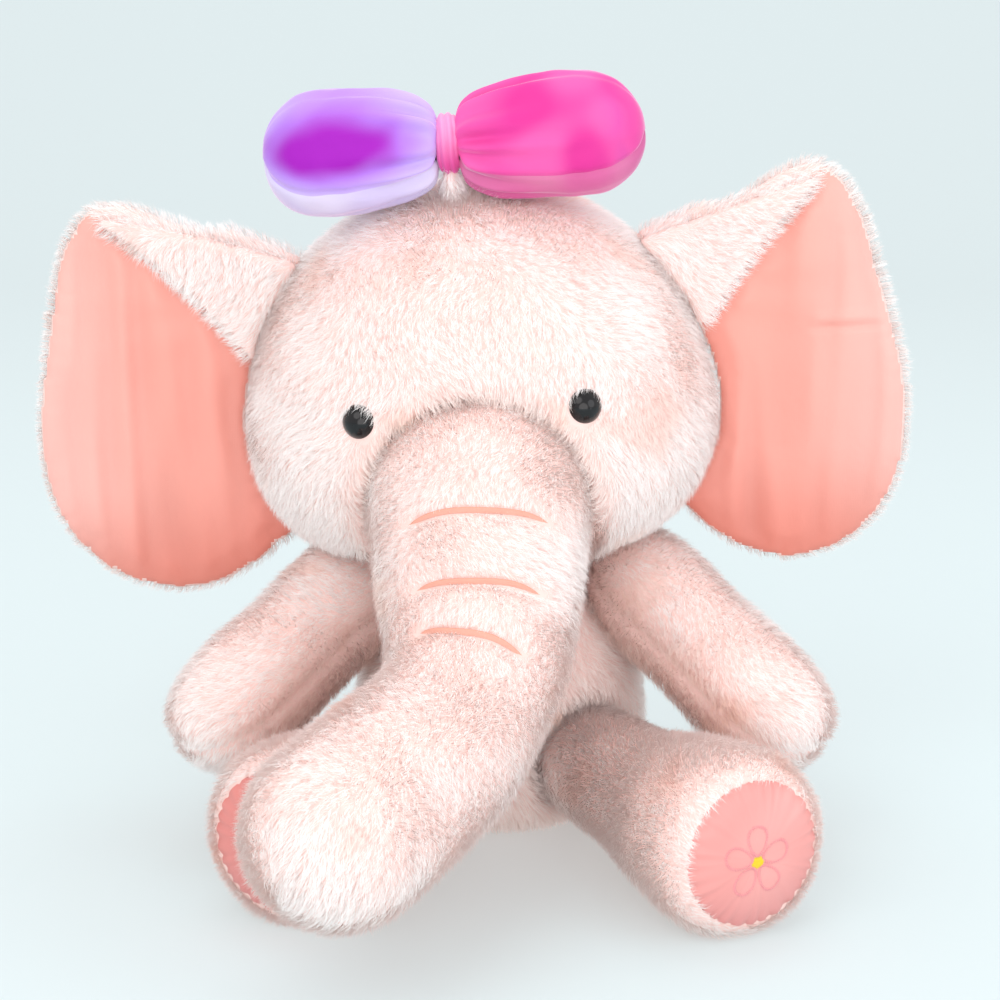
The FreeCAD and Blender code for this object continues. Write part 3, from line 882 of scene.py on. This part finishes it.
def makeEar(side):
    sign = 1 if side == "left" else -1
    body = "ear_" + side
    whole = skinFrom("ear_whole", "ear_wadding_" + side, skins["ear"], knitBacking)
    points, normals = pointsOf(whole.data), normalsOf(whole.data)
    front = normals @ -headBack > earLook["frontAt"]
    local = inHead(points)
    root = np.abs(local[:, 0]).min()
    reach = np.abs(local[:, 0]).max() - root
    edge = inHead(cadPoints("ear_fold_" + side))
    tip, foot = edge[np.abs(edge[:, 0]).argmax()], edge[edge[:, 2].argmin()]
    along = (np.abs(local[:, 0]) - abs(foot[0])) / (abs(tip[0]) - abs(foot[0]))
    front &= local[:, 2] < foot[2] + (tip[2] - foot[2]) * along + earLook["underFold"] * mm
    frontFaces = facesWhere(whole.data, front)
    backFaces = [tuple(f.vertices) for f in whole.data.polygons if not all(front[i] for i in f.vertices)]
    # how far each front point is from the seam round the lining
    rim = sorted({i for face in backFaces for i in face if front[i]})
    tree = KDTree(len(rim))
    for number, index in enumerate(rim):
        tree.insert(points[index], number)
    tree.balance()
    gap = np.array([tree.find(point)[2] if inFront else 0.0 for point, inFront in zip(points, front)])
    crown = step(gap, 0, earLook["seamReach"] * mm)
    flat = local[:, [0, 2]] * np.array([sign, 1])
    stretched = np.stack([local[:, 0] * sign, np.zeros(len(local)), local[:, 2] * 0.16], axis=1)
    folds = softNoise(stretched, earLook["foldSize"] * mm, 31 + sign)
    # tension lines fan out from the foot of the fold
    foot = flat - np.array([root, np.quantile(local[:, 2], 0.75)])
    turn = np.arctan2(foot[:, 1], foot[:, 0])
    distance = np.linalg.norm(foot, axis=1)
    fan = np.sin(turn * 17 + 1.3 * np.sin(turn * 5))
    fan *= np.exp(-distance / (70 * mm)) * step(distance, 0, 25 * mm)
    lift = crown * (earLook["crown"] + earLook["foldAmount"] * folds + 0.9 * fan)
    lift -= 0.5 * (1 - step(gap, 0, 3 * mm))
    if side == "left":
        # a small sewn tuck near the outer edge
        tuckHeight = np.quantile(local[:, 2], 0.60)
        beside = step(flat[:, 0], root + reach * 0.62, root + reach * 0.72)
        lift -= 1.8 * np.exp(-((local[:, 2] - tuckHeight) / (1.6 * mm)) ** 2) * beside * crown
        lift += 1.0 * np.exp(-((local[:, 2] - tuckHeight - 5 * mm) / (3.0 * mm)) ** 2) * beside * crown
    points = points + normals * (lift * front)[:, None] * mm
    lining, used = partOf(f"ear_lining_satin_{side}", points, frontFaces, polyesterSatin)
    wayOut = (flat[used, 0] - root) / reach
    # painted shade: darker salmon beside the head and towards the bottom of the lining, paler towards its
    # outer edge
    colour = mix(linear(earLook["near"]), linear(earLook["middle"]), step(wayOut, 0, 0.42))
    colour = mix(colour, linear(earLook["far"]), step(wayOut, 0.5, 0.98) * 0.8)
    lowness = 1 - step(local[used, 2], local[:, 2].min(), local[:, 2].min() + 65 * mm)
    colour = mix(colour, linear(earLook["low"]), lowness * 0.75)
    # painted shade and highlight: a little paler on the raised folds, darker in their hollows
    colour = colour * (1 + 0.03 * folds[used])[:, None]
    tint(lining.data, colour)
    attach(lining, body)
    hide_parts("ear_lining_" + side)
    back, used = partOf(f"ear_back_skin_{side}", points, backFaces, knitBacking)
    bpy.data.objects.remove(whole)
    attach(back, body)
    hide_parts("ear_back_" + side, "ear_wadding_" + side)
    fold = makeForm(f"ear_fold_skin_{side}", body, "fold", "ear_fold_" + side, [])
    return back, fold


ears = {side: makeEar(side) for side in ("left", "right")}
say("the ears are lined")


# bow: two stuffed velvet lobes gathered into a knot

bow = {
    "round": 96,
    "along": 56,
    "neckShare": 0.36,       # of the lobe's half height, where the knot gathers it
    "fullAt": 0.56,          # where along the lobe it is fullest
    "blunt": 2.9,            # the roundness of the far end, above 2 is fuller
    "seamDrop": 34.0,        # degrees below level that the seam runs
    "seamDepth": 1.5,
    "pleats": 13,
    "pleatDepth": 3.0,
    "pleatReach": 44.0,
    "puff": {"pressure": 4.0, "tension": 22.0, "bending": 0.6, "frames": 20, "cap": 3.5},
    "start": 0.97,           # share of full size before the stuffing swells it
    "towardsKnot": 4.6,
    "beyond": {"left": 5.0, "right": 0.0},
}
bowColours = {
    "right": {"upper": ("#A00AB6", "#B07AE6", "#C7B2F0"), "under": ("#D9CFEA", "#C9BCE6", "#E6E0F2")},
    "left": {"upper": ("#D92E92", "#EE62AE", "#B32D9E"), "under": ("#D2619A", "#DE86AC", "#B8448C")},
}


def lobeRing(share):
    # the lobe's outline: its half height, as a share of the fullest, at a share of its length
    if share < bow["fullAt"]:
        rise = math.sin(math.pi / 2 * share / bow["fullAt"]) ** 0.47
        return bow["neckShare"] + (1 - bow["neckShare"]) * rise
    past = (share - bow["fullAt"]) / (1 - bow["fullAt"])
    return max(0.0, 1 - past ** bow["blunt"]) ** (1 / 2.1)


def makeLobe(side):
    sign = 1 if side == "left" else -1
    names = [f"bow_{part}_{side}" for part in ("upper", "under", "filling")]
    local = inHead(cadPoints(*names))
    low, high = local.min(0), local.max(0)
    near, far = (low[0], high[0]) if sign > 0 else (high[0], low[0])
    near, far = near - sign * bow["towardsKnot"] * mm, far + sign * bow["beyond"][side] * mm
    middle = (low + high) / 2
    half = (high - low) / 2
    closing = np.sin(np.linspace(0, math.pi / 2, 15)[1:])
    shares = np.concatenate([np.linspace(0, 0.8, bow["along"] - 14), 0.8 + 0.2 * closing])
    turns = np.arange(bow["round"]) * 2 * math.pi / bow["round"]
    rows = []
    for share in shares:
        size = lobeRing(share) * bow["start"]
        ring = np.stack([
            np.full(len(turns), near + (far - near) * (0.01 + 0.97 * share)),
            middle[1] - half[1] * size * np.cos(turns),
            middle[2] + half[2] * size * np.sin(turns),
        ], axis=1)
        rows.append(ring)
    count = bow["round"]
    faces = [face if sign > 0 else face[::-1] for face in ringFaces(len(rows), count)]
    lobe = newPiece("lobe", fromHead(np.concatenate(rows)), faces, stretchVelvet)
    puff(lobe, bow["puff"])
    points, normals = pointsOf(lobe.data), normalsOf(lobe.data)
    local = inHead(points)
    grid = np.arange(len(points))
    angle = turns[grid % count]
    share = shares[grid // count]
    distance = share * abs(far - near)
    # gathers at the knot, of uneven width and reach
    rng = np.random.default_rng(7 + sign)
    wander = 0.5 * np.sin(angle * 2 + rng.uniform(0, 6)) + 0.35 * np.sin(angle * 5 + rng.uniform(0, 6))
    reach = bow["pleatReach"] * mm * (0.75 + 0.3 * np.sin(angle * 3 + 1.0) * np.sin(angle * 7 + 2.0))
    pleat = np.cos(angle * bow["pleats"] + wander * 2.2)
    fading = np.exp(-(distance / reach) ** 1.5) * step(distance, 0, 4 * mm)
    lift = bow["pleatDepth"] * pleat * fading * np.clip(0.35 + distance / (14 * mm), 0, 1)
    # the seam's valley, with puckers along it
    drop = math.radians(bow["seamDrop"])
    seamFront, seamBack = 2 * math.pi - drop, math.pi + drop
    radius = np.maximum(np.linalg.norm(local[:, 1:] - middle[1:], axis=1), 2 * mm)
    fromSeam = np.minimum(np.abs(angle - seamFront), np.abs(angle - seamBack)) * radius
    valley = np.exp(-(fromSeam / (1.7 * mm)) ** 2)
    ripple = np.sin(distance / (3.1 * mm) + 2 * np.sin(distance / (11 * mm)))
    pucker = np.exp(-(fromSeam / (5.5 * mm)) ** 2) * ripple
    lift += -bow["seamDepth"] * valley + 0.30 * pucker * step(share, 0.15, 0.35)
    lift += 0.9 * softNoise(points, 30 * mm, 61 + sign) + 0.25 * softNoise(points, 11 * mm, 63 + sign)
    points = points + normals * (lift * mm)[:, None]
    columnAngles = np.array([turns[face[0] % count] + math.pi / count for face in faces])
    isUnder = (columnAngles > seamBack) & (columnAngles < seamFront)
    nap = step(softNoise(points, 26 * mm, 71 + sign) * 0.5 + 0.5, 0.1, 0.95)
    # edge is 0 at the middle of the lobe's length and 1 at its ends; on the left upper panel it paints
    # sheen, paler velvet where the lobe turns away at each end
    edge = step(np.abs(share - 0.5) * 2, 0.35, 1.0)
    height = step(local[:, 2], middle[2] - half[2], middle[2] + half[2])
    for part, chosen in (("upper", ~isUnder), ("under", isUnder)):
        picked = [face for face, wanted in zip(faces, chosen) if wanted]
        piece, used = partOf(f"bow_{part}_velvet_{side}", points, picked, stretchVelvet)
        deep, soft, rim = (linear(colour) for colour in bowColours[side][part])
        colour = mix(deep, soft, np.clip(nap * 0.75 + edge * 0.45, 0, 1)[used])
        if side == "right" and part == "upper":
            # painted sheen: deep violet in the middle of the panel, paling to lavender towards its rim,
            # where the velvet turns away
            centred = np.hypot((share - 0.56) / 0.46, (height - 0.60) / 0.42)
            colour = mix(deep, soft, step(centred + 0.12 * softNoise(points, 16 * mm, 77), 0.4, 1.05)[used])
            colour = mix(colour, rim, step(centred, 0.8, 1.3)[used])
        elif side == "left" and part == "upper":
            outer = step(share, 0.72, 1.0) * step(nap, 0.2, 0.8)
            colour = mix(colour, rim, outer[used] * 0.7)
        else:
            colour = mix(colour, rim, edge[used] * 0.4)
        tint(piece.data, colour)
        smooth = piece.modifiers.new("smooth", "SUBSURF")
        smooth.levels = smooth.render_levels = 1
        settle(piece)
        piece.data.shade_smooth()
        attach(piece, "bow_" + side)
        if part == "upper":
            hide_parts(f"bow_upper_{side}", f"bow_filling_{side}")
        else:
            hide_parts(f"bow_under_{side}")
    bpy.data.objects.remove(lobe)


knot = {
    "round": 72,
    "across": 26,
    "ridges": 3,
    "ridgeDepth": 1.8,
    "grow": 2.2,
    # painted light: the band is paler on top and deeper pink below
    "top": "#F79BCB",
    "low": "#DB4C99",
}


def makeKnot():
    # the band round the gathers, folded into three soft ridges
    local = inHead(cadPoints("knot_band"))
    low, high = local.min(0), local.max(0)
    middle, half = (low + high) / 2, (high - low) / 2
    points = []
    for row in range(knot["across"] + 1):
        share = row / knot["across"] * 2 - 1
        bulge = (1 - abs(share) ** 3.0) * knot["grow"] - 1.6 * abs(share) ** 6
        for column in range(knot["round"]):
            turn = 2 * math.pi * column / knot["round"]
            phase = math.pi * knot["ridges"] * (share + 1) / 2 + 0.5 * math.sin(turn)
            ridge = knot["ridgeDepth"] * (abs(math.cos(phase)) - 0.6)
            out = (bulge + ridge * 0.7) * mm
            points.append((
                middle[0] + half[0] * share * 1.02 + 0.3 * mm * math.sin(turn * 3),
                middle[1] - (half[1] + out) * math.cos(turn),
                middle[2] + (half[2] + out) * math.sin(turn),
            ))
    faces = ringFaces(knot["across"] + 1, knot["round"])
    band = newPiece("knot_band_velvet", fromHead(points), faces, stretchVelvet)
    # painted light from above: paler at the top of the band, deeper pink at its bottom
    height = step(np.array(points)[:, 2], low[2], high[2])
    tint(band.data, mix(linear(knot["low"]), linear(knot["top"]), height))
    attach(band, "head")
    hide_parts("knot_band", "knot_core")


for side in ("left", "right"):
    makeLobe(side)
makeKnot()
say("the bow is stuffed and tied")


# soles: satin pads, one with an embroidered flower

pad = {
    "rings": 26,
    "round": 128,
    "dome": 5.0,
    "tuck": 2.2,
    "gathers": 31,
    "gatherDepth": 1.1,
    "gatherReach": 11.0,
    "puff": {"pressure": 3.0, "tension": 30.0, "bending": 1.2, "frames": 16, "cap": 2.0},
    "colour": {"left": ("#EBA7A2", "#E59A95"), "right": ("#E39590", "#DE8A84")},
    # painted shade: the colour that the pad darkens to at its bottom
    "low": "#D48C8A",
}
flower = {
    "petals": 5,
    "petalPlace": 10.5,
    "petalLong": 7.2,
    "petalWide": 5.0,
    "stitches": 34,          # round each petal
    "stitchLong": 2.0,
    "stitchWide": 0.62,
    "stitchHigh": 0.55,
    "heart": 3.6,
    "offset": (-1.5, -2.0),
}


def soleFrame(side):
    # the pad's middle, the way it faces, and its own up and across
    points = cadPoints("sole_pad_" + side)
    middle = (points.min(0) + points.max(0)) / 2
    out = unit(middle - placeOf(f"leg_{side}_lift"))
    up = unit(flatten(np.array([0, 0, 1.0]), out))
    across = np.cross(up, out)
    radius = np.linalg.norm(flatten(points - middle, out), axis=1).max()
    return middle, out, up, across, radius


def makeSole(side):
    middle, out, up, across, radius = soleFrame(side)
    points = []
    turns = np.arange(pad["round"]) * 2 * math.pi / pad["round"]
    radial = np.cos(turns)[:, None] * across + np.sin(turns)[:, None] * up
    shares = np.sin(np.linspace(0.02, 1, pad["rings"]) * math.pi / 2)
    for share in shares:
        height = pad["dome"] * (1 - share ** 2.6) - pad["tuck"] * share ** 9
        points.append(middle + radial * radius * share + out * height * mm)
    for share in shares[::-1]:
        points.append(middle + radial * radius * share * 0.985 - out * (2.6 + 0.4 * (1 - share)) * mm)
    count = pad["round"]
    rows = len(points)
    faces = ringFaces(rows, count)
    faces.append(tuple(range(count)))
    faces.append(tuple((rows - 1) * count + column for column in reversed(range(count))))
    piece = newPiece("sole_satin_" + side, np.concatenate(points), faces, polyesterSatin)
    puff(piece, pad["puff"])
    moved = pointsOf(piece.data)
    grid = np.arange(len(moved))
    angle, row = turns[grid % count], grid // count
    onTop = row < pad["rings"]
    fromRim = radius * (1 - np.where(onTop, shares[np.minimum(row, pad["rings"] - 1)], 1))
    wander = 0.9 * np.sin(angle * 3 + 1) + 0.6 * np.sin(angle * 7 + len(side))
    gather = np.sin(angle * pad["gathers"] + wander * 2)
    fading = np.exp(-fromRim / (pad["gatherReach"] * mm * (0.55 + 0.3 * np.sin(angle * 11))))
    moved += out * (gather * fading * pad["gatherDepth"] * mm * onTop)[:, None]
    dimples = softNoise(moved, 17 * mm, 41 + len(side)) * 0.35 * mm * onTop * step(fromRim, 0, 9 * mm)
    moved += out * dimples[:, None]
    movePoints(piece.data, moved)
    first, second = (linear(colour) for colour in pad["colour"][side])
    colour = mix(first, second, step(softNoise(moved, 40 * mm, 45), -1, 1))
    # painted shade: darker towards the bottom of the pad, next to the floor
    lowness = 1 - step((moved - middle) @ up, -radius, -radius * 0.1)
    colour = mix(colour, linear(pad["low"]), lowness * 0.7)
    tint(piece.data, colour)
    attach(piece, "leg_" + side)
    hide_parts("sole_pad_" + side)
    return piece


def stitch(start, end, out, wide, high):
    # one thread lying on the cloth: a low ridge with its ends sunk in
    way = end - start
    side = unit(np.cross(out, way)) * wide / 2
    points = []
    for share, rise in ((0.0, -0.3), (0.25, 0.8), (0.5, 1.0), (0.75, 0.8), (1.0, -0.3)):
        place = start + way * share
        ridge = place + out * high * rise
        points += [place - side, ridge - side * 0.5, ridge + side * 0.5, place + side]
    faces = [(4 * row + column, 4 * row + column + 1, 4 * row + column + 5, 4 * row + column + 4)
             for row in range(4) for column in range(3)]
    return points, faces


def sewn(name, stitches, out, material, wide, high):
    points, faces = [], []
    for start, end in stitches:
        more, moreFaces = stitch(start, end, out, wide * mm, high * mm)
        faces += [tuple(index + len(points) for index in face) for face in moreFaces]
        points += more
    return newPiece(name, points, faces, material)


def makeFlower(sole):
    middle, out, up, across, _ = soleFrame("left")
    tree = treeOf(sole.data)
    heart = middle + (across * flower["offset"][0] + up * flower["offset"][1]) * mm

    def onSole(x, y):
        above = heart + (across * x + up * y) * mm + out * 30 * mm
        return np.array(tree.ray_cast(Vector(above), Vector(-out))[0])

    outline = []
    for petal in range(flower["petals"]):
        turn = 2 * math.pi * petal / flower["petals"] + math.pi / 2
        way, beside = np.array([math.cos(turn), math.sin(turn)]), np.array([-math.sin(turn), math.cos(turn)])
        for number in range(flower["stitches"]):
            angle = 2 * math.pi * number / flower["stitches"]
            place = way * (flower["petalPlace"] + flower["petalLong"] * math.cos(angle))
            place = place + beside * flower["petalWide"] * math.sin(angle) * (1 + 0.25 * math.cos(angle))
            lean = way * math.cos(angle + 0.5) + beside * math.sin(angle + 0.5)
            lean = unit(lean) * flower["stitchLong"] / 2
            outline.append((onSole(*(place - lean)), onSole(*(place + lean))))
    centre = []
    for number in range(11):
        x = (number / 5 - 1) * flower["heart"]
        reach = math.sqrt(max(flower["heart"] ** 2 - x ** 2, 0.3))
        centre.append((onSole(x, -reach), onSole(x, reach)))
    for name, stitches, material, node, slotName in (
        ("sole_flower_stitches", outline, paleThread, "sole_flower", "thread"),
        ("sole_flower_heart_stitches", centre, yellowThread, "sole_flower_heart", "yellow_thread"),
    ):
        piece = sewn(name, stitches, out, material, flower["stitchWide"], flower["stitchHigh"])
        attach(piece, "leg_left")
        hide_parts(node)


soleSkins = {side: makeSole(side) for side in ("left", "right")}
makeFlower(soleSkins["left"])
say("the soles are padded and embroidered")


# tail: a soft cord of fur fabric with a tuft

forms["tail"] = makeForm("tail_skin", "tail", "tail", "tail", [])
forms["tuft"] = makeForm("tail_tuft_skin", "tail", "tail", "tail_tuft", [])


# fur on every form

def alongTrunk(points):
    centres = np.array([entry[0] for entry in trunkCentres])
    headings = np.array([entry[1] for entry in trunkCentres])
    nearest = np.empty(len(points), int)
    for start in range(0, len(points), 20000):
        part = points[start:start + 20000]
        nearest[start:start + 20000] = ((part[:, None] - centres[None]) ** 2).sum(-1).argmin(1)
    return headings[nearest] + 0.25 * np.array([0, 0, -1.0])


def creaseGap(points):
    # 0 on a crease strip, 1 a few millimetres away from it
    gap = np.ones(len(points))
    for place, middle, half in creasePlaces:
        ring = min(trunkCentres, key=lambda entry: abs(entry[5] - place))
        centre, heading, up, side, radius, _ = ring
        away = points - centre
        along = away @ heading
        angle = np.arctan2(away @ side, away @ up)
        beyond = np.maximum(np.abs(angle - middle) - half, 0) * radius
        nearTop = (away @ up) > -radius
        distance = np.hypot(along, beyond)
        behind = along < 0      # the pile from above would fall over the strip
        reach = np.where(behind, 9 * mm, 4 * mm)
        gap = np.where(nearTop, np.minimum(gap, step(distance, 0.7 * mm, reach) + 0.02), gap)
    return gap


eyes = {}
for side in ("left", "right"):
    eyePoints = cadPoints("eye_" + side)
    front = eyePoints[(eyePoints @ -headBack) > np.quantile(eyePoints @ -headBack, 0.3)]
    eyes[side] = (front.min(0) + front.max(0)) / 2

headRooms = [(placeOf("neck_turn"), 0.050), (eyes["left"], 0.0092), (eyes["right"], 0.0092)]
crownPoint = fromHead([0, -0.01, 0.19])


def headLength(points):
    # shorter pile below each eye, which lets it show, and a tuft that hides the foot of the bow
    scale = np.ones(len(points))
    for side in eyes:
        away = points - eyes[side]
        gap = np.linalg.norm(away, axis=1)
        below = 0.5 + 0.5 * step(gap, 9 * mm, 22 * mm)
        scale = np.minimum(scale, np.where(away @ headUp > 2 * mm, 0.95, below))
    crown = np.linalg.norm(points - fromHead([-0.004, -0.027, 0.205]), axis=1)
    return scale + 0.95 * np.exp(-(crown / (17 * mm)) ** 2) + 0.3 * nearTrunk(points)


trunkTop = placeOf("trunk_lift")


def nearTrunk(points):
    return 1 - step(np.linalg.norm(points - trunkTop, axis=1), 56 * mm, 74 * mm)


def headFlow(points):
    # combed out from the crown, and forward over the root of the trunk
    combed = unit(brushedAlong(-headUp * 0.6 - headBack * 0.05, crownPoint, 1.0)(points))
    near = nearTrunk(points)[:, None]
    return combed * (1 - near) + (unit(trunkTop - points) - headBack) * near


limbs = [forms[name] for name in ("arm_left", "arm_right", "leg_left", "leg_right")]
growFur(
    "head_fur", forms["head"], "head", headFlow,
    hidden=[trunkSkin], rooms=headRooms, lengthAt=headLength,
    # painted shade: warmer, darker peach fur in the crease where the trunk meets the head
    paintedShadeAt=lambda points, normals: 0.5 * nearTrunk(points),
)
growFur(
    "body_fur", forms["body"], "torso", brushedAlong((0, 0, -1)), hidden=limbs,
    rooms=[(placeOf("neck_turn"), 0.036)],
    # painted shade: warmer, darker peach on the front of the body, where the belly sits in shade under the
    # trunk
    paintedShadeAt=lambda points, normals: 0.35 * step(-normals[:, 1], 0.0, 0.9),
    density=0.95,
)
growFur(
    "trunk_fur", trunkSkin, "trunk_upper", alongTrunk, hidden=[forms["head"]], lengthAt=creaseGap,
    keepAt=lambda points, normals: creaseGap(points) > 0.05, blend=trunkBlend(),
)
for side in ("left", "right"):
    sign = 1 if side == "left" else -1
    arm, leg = forms["arm_" + side], forms["leg_" + side]
    armWay = pointsOf(arm.data).mean(0) - placeOf(f"arm_{side}_raise")
    growFur(
        f"arm_{side}_fur", arm, "arm_" + side, brushedAlong(armWay), hidden=[forms["body"], forms["head"]],
        lengthAt=lambda points: 0.45 + 0.55 * step(armSeams[side](points), 0.5 * mm, 6 * mm),
        # painted shade: warmer, darker peach on each arm's inner and lower side, towards the body
        paintedShadeAt=lambda points, normals: 0.75 * step(-sign * normals[:, 0] - 0.25 * normals[:, 2], 0.1, 0.75),
    )
    middle, out, up, across, radius = soleFrame(side)

    def offSole(points, normals):
        away = points - middle
        return ~((np.linalg.norm(flatten(away, out), axis=1) < radius + 0.6 * mm) & (away @ out > -8 * mm))

    def soleLength(points):
        return 0.75 + 0.25 * step(-(points - middle) @ out, 0, 25 * mm)

    growFur(
        f"leg_{side}_fur", leg, "leg_" + side, brushedAlong(out), hidden=[forms["body"]], keepAt=offSole,
        lengthAt=soleLength,
    )
    back, fold = ears[side]
    earRoot = placeOf(f"ear_{side}_flap")
    growFur(
        f"ear_{side}_back_fur", back, "ear_" + side, brushedAlong(headLeft * sign * 0.4, earRoot, 1.0),
        density=1.0, length=6.5,
    )
    growFur(
        f"ear_{side}_fold_fur", fold, "ear_" + side, brushedAlong(headLeft * sign - headUp * 0.5),
        keepAt=lambda points, normals: normals @ -headBack > -0.3,
    )
growFur("bow_foot_fur", forms["bowFoot"], "head", brushedAlong(-headUp), length=9.0, density=2.0)
growFur("tail_fur", forms["tail"], "tail", brushedAlong((0, 0, -1)), length=5.0)
growFur("tail_tuft_fur", forms["tuft"], "tail", brushedAlong((0, 0, -1)), length=13.0, density=1.4)

bendPiece(trunkSkin)
for part in ("upper", "tip"):
    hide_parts(f"trunk_{part}_left_panel", f"trunk_{part}_right_panel", f"trunk_{part}_filling")
say("the fur is grown")


# the CAD nodes that keep their shape get their real finishes

finishes = {
    "eye_left": polishedAcrylic,
    "eye_right": polishedAcrylic,
    "eye_washer_left": mouldedPolythene,
    "eye_washer_right": mouldedPolythene,
    "neck_thread": spunThread,
    "closing_stitches": spunThread,
    "care_label": labelRibbon,
}
for nodeName, material in finishes.items():
    mesh = nodes[nodeName].data
    mesh.materials.clear()
    mesh.materials.append(material)
